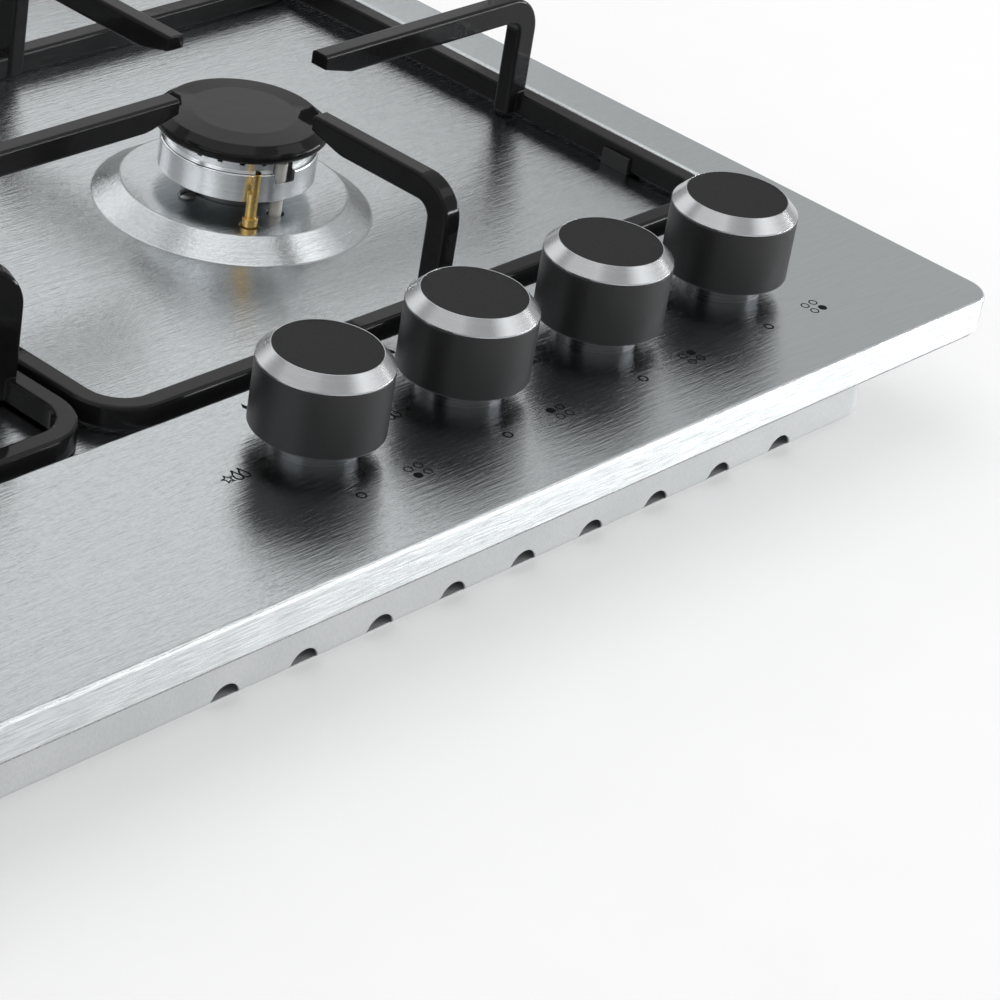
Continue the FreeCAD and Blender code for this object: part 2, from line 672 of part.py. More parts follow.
def knob_ring(name):
    r = "knob_radius"
    body = turned("ring_" + name, [
        ("disc_radius", "knob_shoulder - 1.2"), (r + " - 1.4", "knob_shoulder - 1.2"),
        (r + " - 1.4", "knob_shoulder"), (r + " - 0.1", "knob_shoulder"),
        (r + " - 0.1", "knob_shoulder + 0.5"),
        ("disc_radius + 0.25", "knob_height"), ("disc_radius", "knob_height")], knob_at(name, "plate_top"))
    return node(body, "knob_ring_" + name)


def knob_disc(name):
    body = turned("disc_" + name, [
        ("0", "knob_shoulder - 1.2"), ("disc_radius", "knob_shoulder - 1.2"),
        ("disc_radius", "knob_height - 0.15"), ("0", "knob_height - 0.15")], knob_at(name, "plate_top"))
    return node(body, "knob_disc_" + name)


def tap_spindle(name):
    """Spindle with a pushing flange above the switch collar and a flat at its top."""
    r = "spindle_radius"
    body = turned("spindle_" + name, [
        ("0", "tap_top - 6"), (r, "tap_top - 6"), (r, "42.2"), ("6.4", "42.2"), ("6.4", "43.6"), (r, "43.6"),
        (r, "plate_top + 24"), (r + " - 0.8", "plate_top + 24.8"), ("0", "plate_top + 24.8")],
        (KNOB_X[name], "knob_y", "0"))
    flat = sketch_on(body, "XY_Plane", "plate_top + 25", "Flat")
    polygon(flat, [("2.6", "-5"), ("5", "-5"), ("5", "5"), ("2.6", "5")])
    body.Tip = extrude(body, flat, "12", cut=True)
    return node(body, "tap_spindle_" + name)


def switch_collar(name):
    """Collar round the spindle that a pushed knob carries down onto the ignition switch."""
    x = KNOB_X[name]
    ring = cylinder("7.5", "2.4", (x, "knob_y", "39.8"))
    arm = block(("14", "5", "2.4"), (x + " - 18", "knob_y - 2.5", "39.8"))
    plunger = cylinder("1.3", "6", ("%s - %g" % (x, PLUNGER_AWAY), "knob_y", "34"))
    bore = cylinder("spindle_radius + run_gap", "6", (x, "knob_y", "38"))
    return node(subtract(fuse(ring, arm, plunger), bore), "switch_collar_" + name)


def bezels():
    """Collars that stand on the plate round the spindles, each with a drip neck inside."""
    items = []
    r = "bezel_radius"
    for name in BURNERS:
        body = turned("bezel_" + name, [
            ("8", "-sheet - 0.8"), ("8.8", "-sheet - 0.8"), ("8.8", "0"), (r, "0"),
            (r, "bezel_height - 0.5"), (r + " - 0.4", "bezel_height"), (r + " - 1.2", "bezel_height"),
            (r + " - 1.2", "1.4"), ("9.2", "1.4"), ("9.2", "6"), ("8", "6")], knob_at(name, "plate_top"))
        items.append(body)
    return node(group(*items), "knob_bezels")


# ---------------------------------------------------------------- taps, rail and tubes
BACKWARD = Vector(0, 1, 0)


def gas_tap(name):
    """Tap body with its safety magnet, saddle on the rail and outlet to the tube."""
    x = KNOB_X[name]
    barrel = cylinder("tap_radius", "24", (x, "knob_y", "9"))
    shoulder = cylinder("7.5", "3", (x, "knob_y", "33"))
    magnet = cylinder("6", "5", (x, "knob_y", "4"))
    saddle = block(("16", "knob_y - rail_y", "14"), (x + " - 8", "rail_y", "rail_z - 7"))
    outlet = cylinder("5", "16", (x, "knob_y", "tube_z"), BACKWARD)
    nut = hexagon("6.8", "6", (x, "knob_y + 12", "tube_z"), BACKWARD)
    rail = cylinder("rail_radius", "20", (x + " - 10", "rail_y", "rail_z"), Vector(1, 0, 0))
    bore = cylinder("spindle_radius + run_gap", "20", (x, "knob_y", "tap_top - 11"))
    return node(subtract(fuse(barrel, shoulder, magnet, saddle, outlet, nut), rail, bore), "gas_tap_" + name)


def switches():
    """Ignition switches beside the taps, each with a hole that its plunger enters."""
    items = []
    for x in KNOB_X.values():
        case = block(("11", "9", "9"), (x + " - 21", "knob_y - 4.5", str(SWITCH_Z)))
        hole = cylinder("1.6", "8", ("%s - %g" % (x, PLUNGER_AWAY), "knob_y", "29"))
        lug = block(("4", "5", "3"), (x + " - 12", "knob_y - 2.5", "27"))
        items.append(subtract(fuse(case, lug), hole, cylinder("tap_radius", "24", (x, "knob_y", "9"))))
    return node(group(*items), "ignition_switches")


def gas_rail():
    """Manifold: along the taps, round the right corner and back to the inlet."""
    left, side = val(KNOB_X["front_left"]) - 22, val("rail_right_x")
    y, z, back = val("rail_y"), val("rail_z"), val("pan_depth") / 2
    path = [(left, y, z), (side, y, z), (side, back - 60, z), (side - 8, back - 34, z),
            (side - 8, back - 20, z)]
    return node(shaped("gas_rail", bent_tube(path, val("rail_radius"), 16)), "gas_rail")


def gas_inlet():
    """Inlet elbow seat: hexagon inside the pan, collar and G1/2 thread out at the back."""
    x, z, wall = "rail_right_x - 8", "rail_z", "pan_depth / 2"
    nut = hexagon("13", "14", (x, wall + " - 20", z), BACKWARD)
    neck = cylinder("11.2", "7.6", (x, wall + " - 6.2", z), BACKWARD)
    thread = cylinder("10.48", "15", (x, wall + " + 1.4", z), BACKWARD)
    bore = cylinder("7.5", "30", (x, wall + " - 12", z), BACKWARD)
    return node(subtract(fuse(nut, neck, thread), bore), "gas_inlet")


def gas_tubes():
    """One aluminium tube from each tap's outlet to its burner's cup."""
    y0, z = val("knob_y") + 18, val("tube_z")
    bx, fy, ry = val("burner_x"), val("front_burner_y"), val("rear_burner_y")
    reach = {name: val(BURNERS[name][2] + " - cup_step") + 7 for name in BURNERS}
    start = {name: val(KNOB_X[name]) for name in BURNERS}
    lane_left, lane_mid = -52, 62
    routes = {
        "front_left": [(start["front_left"], y0 + 26), (-bx, y0 + 26), (-bx, fy - reach["front_left"])],
        "rear_left": [(start["rear_left"], y0 + 42), (lane_left, y0 + 42), (lane_left, ry - 74),
                      (-bx, ry - 74), (-bx, ry - reach["rear_left"])],
        "rear_right": [(start["rear_right"], y0 + 58), (lane_mid, y0 + 58), (lane_mid, ry - 74),
                       (bx, ry - 74), (bx, ry - reach["rear_right"])],
        "front_right": [(start["front_right"], fy), (bx + reach["front_right"], fy)],
    }
    tubes = []
    for name, corners in routes.items():
        path = [(start[name], y0, z)] + [(x, y, z) for x, y in corners]
        tubes.append(bent_tube(path, val("tube_radius"), TUBE_BEND))
    return node(shaped("gas_tubes", Part.makeCompound(tubes)), "gas_tubes")


# ---------------------------------------------------------------- ignition and wiring
MODULE = (-246, 176)
MODULE_LENGTH = 34
BLOCK = (-190, 206)
FEED_Z = 5


def ignition_unit():
    """Spark generator on the pan's floor with a terminal for each burner's lead."""
    x, y = MODULE
    case = block((str(MODULE_LENGTH), "46", "22"), (str(x), str(y), "sheet"))
    posts = [cylinder("2.6", "3", (str(x + 7 + 6.6 * i), str(y + 6), "sheet + 22")) for i in range(4)]
    return node(fuse(case, *posts), "ignition_unit")


def post_place(number):
    return MODULE[0] + 7 + 6.6 * number, MODULE[1] + 6


def spark_leads():
    """High-voltage leads from the electrodes' tails to the spark generator's posts."""
    z, fy, ry = val("spark_lead_z"), val("front_burner_y"), val("rear_burner_y")
    lanes = {"front_left": (0, [fy - 50]), "front_right": (1, [fy - 30, ry - 52]),
             "rear_right": (2, [ry - 46]), "rear_left": (3, [ry - 39])}
    leads = []
    for name, (post, rows) in lanes.items():
        x, y = (val(e) for e in spark_place(name))
        end_x, end_y = post_place(post)
        path = [(x, y, val("plate_top - 11")), (x, y, z), (x, rows[0], z)]
        if len(rows) > 1:
            path += [(0, rows[0], z), (0, rows[1], z)]
        path += [(end_x, rows[-1], z), (end_x, end_y, z), (end_x, end_y, val("sheet + 25"))]
        leads.append(bent_tube(path, SPARK_WIRE, LEAD_BEND))
    return node(shaped("spark_leads", Part.makeCompound(leads)), "spark_leads")


def switch_wiring():
    """Loom from the spark generator past the switches, and the pair to the terminal block."""
    z, y, left = val("harness_z"), val("knob_y + 11"), MODULE[0] - 9
    last = val(KNOB_X["front_right"]) - PLUNGER_AWAY
    side_y = MODULE[1] + 20
    loom = bent_tube([(last, y, z), (left, y, z), (left, side_y, z), (MODULE[0], side_y, z)],
                     LOOM_WIRE, LEAD_BEND)
    for x in KNOB_X.values():
        drop = val(x) - PLUNGER_AWAY
        branch = bent_tube([(drop, y, z), (drop, y - 9, z), (drop, y - 9, SWITCH_Z)], FEED_WIRE, 3)
        loom = loom.fuse(branch)
    feeds = []
    for y in (208, 214):
        jog = (MODULE[0] + MODULE_LENGTH + BLOCK[0]) / 2
        corners = [(MODULE[0] + MODULE_LENGTH, y), (jog, y), (jog, y + 3), (BLOCK[0], y + 3)]
        feeds.append(bent_tube([(x, y, FEED_Z) for x, y in corners], FEED_WIRE, 1.2))
    return node(shaped("switch_wiring", Part.makeCompound([loom] + feeds)), "switch_wiring")


def terminal_block():
    """Block for the mains lead's three wires."""
    x, y = BLOCK
    body = block(("30", "16", "14"), (str(x), str(y), "sheet"))
    ways = [cylinder("2.2", "20", (str(x + 6 + 9 * i), str(y - 2), "10"), BACKWARD) for i in range(3)]
    return node(subtract(body, *ways), "terminal_block")


def lead_gland():
    """Strain relief bush for the mains lead in the pan's back wall."""
    wall = "pan_depth / 2"
    shank = cylinder("8", "10", (GLAND_X, wall + " - 6", GLAND_Z), BACKWARD)
    flange = cylinder("10.5", "3", (GLAND_X, wall, GLAND_Z), BACKWARD)
    nose = cylinder("6.6", "12", (GLAND_X, wall + " + 2", GLAND_Z), BACKWARD)
    collar = cylinder("10", "2.5", (GLAND_X, wall + " - 3.4", GLAND_Z), BACKWARD)
    bore = cylinder("3.6", "40", (GLAND_X, wall + " - 10", GLAND_Z), BACKWARD)
    return node(subtract(fuse(shank, flange, nose, collar), bore), "lead_gland")


# ---------------------------------------------------------------- grates
FINGER_SPREAD = 56
TIP_LENGTH = 14
TIP_SHARE = 0.55
FOOT_Y = {"left": ("-106", "187.5"), "right": ("-122.5", "187.5")}


def finger(body, root, heading, reach):
    """A bar swept up a leg at root, round a bend and out to its tip at reach along the heading."""
    low, high = val("plate_top - well_deep + foot_height"), val("plate_top + finger_top")
    deep, bend = val("finger_deep"), val("finger_bend")
    section = sketch_on(body, "XY_Plane", str(low), "Section")
    rounded_rectangle(section, "0", "finger_deep", "-finger_width / 2", "finger_width / 2", "finger_round")
    section.AttachmentOffset = Placement(Vector(root[0], root[1], low), Rotation(Vector(0, 0, 1), heading))
    upright = Rotation(Vector(1, 0, 0), 90).inverted()
    standing = Placement(upright.multVec(Vector(root[0], root[1], 0)),
                         upright * Rotation(Vector(0, 0, 1), heading) * Rotation(Vector(1, 0, 0), 90))
    spine = sketch_on(body, "XZ_Plane", "0", "Spine")
    middle = deep / 2
    arc = Part.Circle(Vector(bend, high - bend, 0), Vector(0, 0, 1), bend - middle)
    leg = Part.LineSegment(Vector(middle, low, 0), Vector(middle, high - bend, 0))
    run = Part.LineSegment(Vector(bend, high - middle, 0), Vector(reach, high - middle, 0))
    for curve in (leg, Part.ArcOfCircle(arc, math.pi / 2, math.pi), run):
        spine.addGeometry(curve, False)
    spine.addConstraint(Sketcher.Constraint("Coincident", 0, 2, 1, 2))
    spine.addConstraint(Sketcher.Constraint("Coincident", 1, 1, 2, 1))
    bar = body.newObject("PartDesign::AdditivePipe", "Finger")
    bar.Profile = section
    bar.Spine = (spine, [])
    body.Tip = bar
    taper = sketch_on(body, "XZ_Plane", "0", "Taper")
    slope = (1 - TIP_SHARE) * deep / TIP_LENGTH
    start, under, past = reach - TIP_LENGTH, high - deep, reach + 1
    corners = [(start, under), (past, under + slope * (TIP_LENGTH + 1)), (past, under - 1),
               (start, under - 1)]
    polygon(taper, [(str(x), str(z)) for x, z in corners])
    for sketch in (spine, taper):
        sketch.setExpression("AttachmentOffset.Base.z", None)
        sketch.AttachmentOffset = standing
    body.Tip = extrude(body, taper, "finger_width + 2", cut=True, midplane=True)


def grate(side):
    """One pan support: frame with a middle bar and fingers that rise to each burner."""
    body = new_body("grate_" + side)
    left, right = ("grate_inner", "grate_outer") if side == "right" else ("-grate_outer", "-grate_inner")
    low = "plate_top - well_deep + foot_height"
    height = "bar_above + well_deep - foot_height"
    frame = sketch_on(body, "XY_Plane", low, "Frame")
    rounded_rectangle(frame, left, right, "grate_front", "grate_back", "grate_corner")
    rounded_rectangle(frame, left + " + bar_width", right + " - bar_width", "grate_front + bar_width",
                      "grate_back - bar_width", "grate_corner - bar_width")
    body.Tip = extrude(body, frame, height)
    middle = "(front_burner_y + rear_burner_y) / 2"
    cross = sketch_on(body, "XY_Plane", low, "MiddleBar")
    polygon(cross, [(left + " + bar_width / 2", middle + " - bar_width / 2"),
                    (right + " - bar_width / 2", middle + " - bar_width / 2"),
                    (right + " - bar_width / 2", middle + " + bar_width / 2"),
                    (left + " + bar_width / 2", middle + " + bar_width / 2")])
    body.Tip = extrude(body, cross, height)
    top = val("plate_top + bar_above")
    round_edges(body, "bar_round", lambda edge: flat_at(edge, top))
    x0, x1 = val(left + " + finger_set"), val(right + " - finger_set")
    y0, y1, ym = val("grate_front + finger_set"), val("grate_back - finger_set"), val(middle)
    half = val("finger_deep") / 2
    for name in BURNERS:
        if not name.endswith(side):
            continue
        cx, cy = val(BURNERS[name][0]), val(BURNERS[name][1])
        clear = val(BURNERS[name][2] + " + cap_lap + tip_gap")
        front = cy < ym
        roots = [((cx, y0 if front else y1), 90 if front else -90),
                 ((cx, ym + half if front else ym - half), -90 if front else 90)]
        if name == "front_left":
            for x in (x0, x1):
                for dy in (-FINGER_SPREAD, FINGER_SPREAD):
                    heading = math.degrees(math.atan2(-dy, cx - x))
                    roots.append(((x, cy + dy), heading))
        else:
            roots += [((x0, cy), 0), ((x1, cy), 180)]
        for root, heading in roots:
            finger(body, root, heading, math.hypot(cx - root[0], cy - root[1]) - clear)
    return node(body, "grate_" + side)


def grate_feet(side):
    """Rubber feet under a grate's side bars, each with a lug up the bar's inner face."""
    low = "plate_top - well_deep"
    outer, inner = ("grate_outer", "grate_inner") if side == "right" else ("-grate_inner", "-grate_outer")
    feet = []
    for y in FOOT_Y[side]:
        start = "%s - foot_length / 2" % y
        for x, lug in ((outer + " - bar_width", outer + " - bar_width - 1.2"),
                       (inner, inner + " + bar_width")):
            pad = block(("bar_width", "foot_length", "foot_height"), (x, start, low))
            ear = block(("1.2", "foot_length", "5.4"), (lug, start, low))
            feet.append(fuse(pad, ear))
    return node(group(*feet), "grate_feet_" + side)


# ---------------------------------------------------------------- seal, clips and screws
def rim_seal():
    """Foam strip under the lip's folded flange: it rests on the worktop."""
    body = new_body("rim_seal")
    strip = sketch_on(body, "XY_Plane", "plate_top - lip_height - 2", "Strip")
    centred_rectangle(strip, "plate_width - 3", "plate_depth - 3", "plate_corner - 1.5")
    centred_rectangle(strip, "plate_width - 13", "plate_depth - 13", "plate_corner - 6.5")
    body.Tip = extrude(body, strip, "2")
    return node(body, "rim_seal")


SPRING_Y = (-120, 140)


def side_springs():
    """Leaf springs on the pan's sides that grip the cut-out's edges."""
    items = []
    for sign in (-1, 1):
        for y in SPRING_Y:
            wall = sign * val("pan_width / 2")
            profile = [(0, 6), (0, 18), (9.6, 30), (11.2, 29.6), (11, 28.4), (9.9, 28.6), (1, 17), (1, 6)]
            points = [Vector(wall + sign * a, y - 9, b) for a, b in profile]
            face = Part.Face(Part.makePolygon(points + points[:1]))
            items.append(face.extrude(Vector(0, 18, 0)))
    return node(shaped("side_springs", Part.makeCompound(items)), "side_springs")


def fixing_screws():
    """Screws of the side springs, of the burner cups and of the pan's front flange."""
    items = []
    for sign in (-1, 1):
        out = Vector(sign, 0, 0)
        start = "%d * (pan_width / 2 + 1)" % sign
        for y in SPRING_Y:
            items.append(cylinder("3.2", "1.8", (start, str(y), "11"), out))
    for name in BURNERS:
        for angle in SCREW_ANGLES:
            x, y = screw_place(name, angle)
            head = cone("2.9", "2.3", "0.9", (x, y, "plate_top"))
            shank = cylinder("1.7", "7", (x, y, "plate_top - 7"))
            slot = block(("6", "0.8", "1"), (x + " - 3", y + " - 0.4", "plate_top + 0.5"))
            items.append(subtract(fuse(head, shank), slot))
    for x in SPACER_X:
        under = (x, "-pan_depth / 2 - pan_flange / 2", "plate_top - well_deep - 2 * sheet - 2")
        items.append(cylinder("3", "2", under))
    return node(group(*items), "fixing_screws")


SPACER_X = ("-256", "-134", "-12", "256")


def pan_brackets():
    """Spacers between the pan's front flange and the plate, and saddles that carry the rail."""
    items = []
    for x in SPACER_X:
        items.append(block(("12", "5", "well_deep"), (x + " - 6", "-pan_depth / 2 - pan_flange / 2 - 2.5",
                                                      "plate_top - sheet - well_deep")))
    rail = cylinder("rail_radius", "300", ("0", "rail_y", "rail_z"), Vector(1, 0, 0))
    for number in ("0.5", "2.5"):
        x = "knob_first_x + %s * knob_pitch" % number
        post = block(("10", "8", "rail_z - sheet"), (x + " - 5", "rail_y - 4", "sheet"))
        foot = block(("10", "26", "1.5"), (x + " - 5", "rail_y - 10", "sheet"))
        items.append(subtract(fuse(post, foot), rail))
    return node(group(*items), "pan_brackets")


# ---------------------------------------------------------------- build, check and write
hob_plate()
base_pan()
rim_seal()
side_springs()
fixing_screws()
pan_brackets()
for burner_name in BURNERS:
    burner_cup(burner_name)
    burner_crown(burner_name)
    burner_cap(burner_name)
node(group(*[flame_probe(burner_name) for burner_name in BURNERS]), "flame_probes")
probe_leads()
node(group(*[spark_electrode(burner_name) for burner_name in BURNERS]), "spark_electrodes")
jets()
for burner_name in BURNERS:
    knob(burner_name)
    knob_ring(burner_name)
    knob_disc(burner_name)
    tap_spindle(burner_name)
    switch_collar(burner_name)
    gas_tap(burner_name)
bezels()
switches()
gas_rail()
gas_inlet()
gas_tubes()
ignition_unit()
spark_leads()
switch_wiring()
terminal_block()
lead_gland()
for grate_side in ("left", "right"):
    grate(grate_side)
    grate_feet(grate_side)
doc.recompute()

for item in doc.Objects:
    if "Invalid" in item.State or "Error" in item.State:
        raise RuntimeError("%s (%s) failed: %s" % (item.Label, item.Name, item.State))
labels = [item.Label for item in NODES]
if len(set(labels)) != len(labels):
    raise RuntimeError("two sub-parts share a name")
os.makedirs("parts", exist_ok=True)
for item in NODES:
    if item.Shape.isNull() or not item.Shape.isValid() or not item.Shape.Solids:
        raise RuntimeError("%s has no valid solid" % item.Label)
    item.Shape.exportStep(os.path.join("parts", item.Label + ".step"))
print("%d sub-parts written" % len(NODES))
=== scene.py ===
"""Four-burner gas cooktop: finishes, printed marks, thread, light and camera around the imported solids."""
import bpy
import bmesh
import math
from mathutils import Matrix, Vector


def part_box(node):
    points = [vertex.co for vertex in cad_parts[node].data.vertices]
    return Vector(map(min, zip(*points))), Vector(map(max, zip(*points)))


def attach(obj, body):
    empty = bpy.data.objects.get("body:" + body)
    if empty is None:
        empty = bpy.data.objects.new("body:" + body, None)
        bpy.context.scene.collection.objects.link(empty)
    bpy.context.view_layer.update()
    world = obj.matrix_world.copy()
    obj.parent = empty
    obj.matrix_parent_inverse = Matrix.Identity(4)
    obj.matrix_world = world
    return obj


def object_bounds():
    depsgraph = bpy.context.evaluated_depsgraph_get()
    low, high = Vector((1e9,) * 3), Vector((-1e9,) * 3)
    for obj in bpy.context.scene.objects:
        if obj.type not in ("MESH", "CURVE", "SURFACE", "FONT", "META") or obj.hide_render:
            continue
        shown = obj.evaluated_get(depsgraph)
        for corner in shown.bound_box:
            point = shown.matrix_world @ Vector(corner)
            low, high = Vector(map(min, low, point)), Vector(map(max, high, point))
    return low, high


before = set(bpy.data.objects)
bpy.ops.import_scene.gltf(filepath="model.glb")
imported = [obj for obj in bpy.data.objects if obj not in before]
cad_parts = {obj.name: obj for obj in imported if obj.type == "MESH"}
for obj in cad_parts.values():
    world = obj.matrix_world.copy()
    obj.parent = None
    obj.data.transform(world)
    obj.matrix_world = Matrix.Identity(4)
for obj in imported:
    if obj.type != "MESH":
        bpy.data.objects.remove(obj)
cad_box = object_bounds()
MM = 0.001

# ---------------------------------------------------------------- places taken from the solids
BURNERS = ("front_left", "rear_left", "rear_right", "front_right")


def middle(node):
    low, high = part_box(node)
    return (low + high) / 2


KNOBS = {name: middle("knob_disc_" + name) for name in BURNERS}
KNOB_PITCH = (KNOBS["front_right"].x - KNOBS["front_left"].x) / (len(BURNERS) - 1)
BURNER_X = middle("burner_cap_front_right").x
FRONT_ROW_Y = middle("burner_cap_front_right").y
REAR_ROW_Y = middle("burner_cap_rear_right").y
PLATE_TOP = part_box("hob_plate")[1].z


# ---------------------------------------------------------------- node graphs
def shade(level):
    """The linear value of a tone between 0 and 255 as it is seen."""
    tone = level / 255
    return tone / 12.92 if tone <= 0.04045 else ((tone + 0.055) / 1.055) ** 2.4


def colour(red, green, blue):
    return (shade(red), shade(green), shade(blue), 1)


def grey(value):
    """A linear grey."""
    return (value, value, value, 1)


class Look:
    """A material with a Principled shader, and short calls for the nodes that feed it."""

    def __init__(self, name, **sockets):
        self.material = bpy.data.materials.new(name)
        self.material.use_nodes = True
        self.tree = self.material.node_tree
        self.shader = self.tree.nodes["Principled BSDF"]
        self.place = self.node("TexCoord").outputs["Object"]
        self.set(**sockets)

    def node(self, kind, inputs=(), **settings):
        """A new node; inputs is a list in the sockets' order, or a dict by their names."""
        made = self.tree.nodes.new("ShaderNode" + kind)
        for name, value in settings.items():
            setattr(made, name, value)
        pairs = inputs.items() if isinstance(inputs, dict) else enumerate(inputs)
        for key, value in pairs:
            self.feed(made.inputs[key], value)
        return made

    def feed(self, socket, value):
        """Link the value if it comes out of a node, and write it on the socket if not."""
        if isinstance(value, bpy.types.NodeSocket):
            self.tree.links.new(value, socket)
        else:
            socket.default_value = value

    def set(self, **sockets):
        """Feed sockets of the shader, named with _ for each space."""
        for words, value in sockets.items():
            self.feed(self.shader.inputs[words.replace("_", " ")], value)
        return self

    def math(self, operation, *values):
        return self.node("Math", values, operation=operation).outputs[0]

    def vector(self, operation, *values):
        return self.node("VectorMath", values, operation=operation).outputs[0]

    def length(self, value):
        return self.node("VectorMath", [value], operation="LENGTH").outputs["Value"]

    def split(self, value):
        return self.node("SeparateXYZ", [value]).outputs

    def joined(self, x, y, z):
        return self.node("CombineXYZ", [x, y, z]).outputs[0]

    def facing(self):
        return self.node("NewGeometry").outputs["Normal"]

    def scaled(self, x, y, z):
        """The place, in metres, times a number along each axis."""
        return self.vector("MULTIPLY", self.place, (x, y, z))

    def noise(self, place, detail=2.0, roughness=0.5, distortion=0.0):
        made = self.node("TexNoise", {"Vector": place, "Scale": 1.0, "Detail": detail,
                                      "Roughness": roughness, "Distortion": distortion})
        return made.outputs["Fac"]

    def grain(self, per_metre, detail=2.0, roughness=0.5):
        """Noise of the same scale along each axis."""
        return self.noise(self.scaled(per_metre, per_metre, per_metre), detail, roughness)

    def between(self, value, low, high, start=0.3, end=0.7):
        """The value stretched from start..end, which holds most of a noise, to low..high."""
        made = self.node("MapRange", {"Value": value, "From Min": start, "From Max": end,
                                      "To Min": low, "To Max": high})
        return made.outputs[0]

    def mix(self, one, two, share):
        """The share of one value and the rest of another."""
        return self.math("ADD", self.math("MULTIPLY", one, share), self.math("MULTIPLY", two, 1 - share))

    def tones(self, value, low, high, top=1.0):
        """A colour from low at 0 to high at top."""
        made = self.node("ValToRGB", [value])
        for element, (position, tint) in zip(made.color_ramp.elements, ((0.0, low), (top, high))):
            element.position = position
            element.color = tint
        return made.outputs[0]

    def bump(self, height, distance, normal=None):
        inputs = {"Height": height, "Distance": distance}
        if normal is not None:
            inputs["Normal"] = normal
        return self.node("Bump", inputs).outputs[0]

    def soft_edges(self, radius):
        """A normal that rounds the solid's sharp edges by this radius in metres."""
        return self.node("Bevel", {"Radius": radius}, samples=6).outputs[0]

    def from_axis(self, kind):
        """The place measured from the axis of the nearest knob or burner, height kept."""
        x, y, height = self.split(self.place)
        if kind == "knob":
            first, half = KNOBS["front_left"], KNOB_PITCH / 2
            x = self.math("WRAP", self.math("SUBTRACT", x, first.x), half, -half)
            y = self.math("SUBTRACT", y, first.y)
        else:
            centre, reach = (FRONT_ROW_Y + REAR_ROW_Y) / 2, (REAR_ROW_Y - FRONT_ROW_Y) / 2
            above = self.math("SUBTRACT", y, centre)
            x = self.math("SUBTRACT", x, self.math("MULTIPLY", self.math("SIGN", x), BURNER_X))
            y = self.math("SUBTRACT", above, self.math("MULTIPLY", self.math("SIGN", above), reach))
        return self.joined(x, y, height)

    def across_turning(self, kind):
        """The direction across the turning marks of a piece turned round its own axis."""
        round_axis = self.vector("CROSS_PRODUCT", (0, 0, 1), self.from_axis(kind))
        turned = self.node("VectorTransform", [round_axis], vector_type="VECTOR",
                           convert_from="OBJECT", convert_to="WORLD").outputs[0]
        return self.vector("NORMALIZE", self.vector("CROSS_PRODUCT", self.facing(), turned))

    def turning_place(self, kind, pitch, round_share=0.8):
        """A coordinate that changes fast across turning marks pitch metres apart, and slowly along them."""
        x, y, height = self.split(self.from_axis(kind))
        radius = self.length(self.joined(x, y, 0.0))
        angle = self.math("ARCTAN2", y, x)
        return self.joined(self.math("DIVIDE", radius, pitch), self.math("DIVIDE", height, pitch),
                           self.math("MULTIPLY", angle, round_share))


# ---------------------------------------------------------------- finishes
UPRIGHT_FINER = 2.2              # how much finer brushing marks are along the height
FINE_ALONG, FINE_ACROSS = 2.2, 3.6   # the fine marks against the coarse ones
COARSE_SHARE = 0.55
STEEP, LEVEL = 0.55, 0.85        # |z| of the normal of a bent-down face, and of a flat one
FLAT_CONTRAST = 0.1              # how much of the marks' colour shows on flat faces


def brushed(name, low, high, flat, steep, anisotropic, depth, lines=(80, 800), direction=(1, 0.02, 0)):
    """Sheet steel brushed along one direction; flat and steep are its roughness when flat and bent down."""
    look = Look(name, Metallic=1.0, Anisotropic=anisotropic)
    along, across = lines
    coarse = look.noise(look.scaled(along, across, across * UPRIGHT_FINER), distortion=0.2)
    along, across = along * FINE_ALONG, across * FINE_ACROSS
    fine = look.noise(look.scaled(along, across, across * UPRIGHT_FINER), 3.0, 0.55)
    marks = look.mix(coarse, fine, COARSE_SHARE)
    cloud = look.grain(7)
    normal = look.facing()
    level = look.math("ABSOLUTE", look.split(normal)[2])
    contrast = look.between(level, 1.0, FLAT_CONTRAST, STEEP, LEVEL)
    streak = look.math("MULTIPLY", look.between(marks, -1, 1, 0.36, 0.64), contrast)
    uneven = look.math("ADD", look.between(marks, 0.95, 1.06), look.between(cloud, -0.03, 0.03))
    return look.set(
        Base_Color=look.tones(look.between(streak, 0, 1, -1, 1), low, high),
        Roughness=look.math("MULTIPLY", look.between(level, steep, flat, STEEP, LEVEL), uneven),
        Tangent=look.vector("NORMALIZE", look.vector("CROSS_PRODUCT", normal, direction)),
        Normal=look.bump(marks, depth)).material


def turned_metal(name, kind, low, high, roughness, anisotropic, pitch, depth, vary=0.15, edge=0.15 * MM):
    """Metal turned round the axis of its knob or burner."""
    look = Look(name, Metallic=1.0, Anisotropic=anisotropic)
    marks = look.noise(look.turning_place(kind, pitch), 3.0, 0.6)
    stain = look.grain(60, 3.0)
    spread = look.math("ADD", look.between(marks, roughness * (1 - vary), roughness * (1 + vary)),
                       look.between(stain, -0.1 * vary, 0.1 * vary))
    return look.set(Base_Color=look.tones(look.between(marks, 0, 1, 0.33, 0.67), low, high),
                    Roughness=spread, Tangent=look.across_turning(kind),
                    Normal=look.bump(marks, depth, look.soft_edges(edge))).material


def cast_metal(name, low, high, roughness, grain=900, depth=0.06 * MM, edge=0.3 * MM):
    """Die-cast or plated metal with a fine grain and faint stains."""
    look = Look(name, Metallic=1.0)
    fine = look.grain(grain, 4.0, 0.6)
    stain = look.grain(45, 3.0)
    spread = look.math("ADD", look.between(fine, roughness - 0.06, roughness + 0.08),
                       look.between(stain, -0.04, 0.04))
    return look.set(Base_Color=look.tones(look.between(stain, 0, 1), low, high), Roughness=spread,
                    Normal=look.bump(fine, depth, look.soft_edges(edge))).material


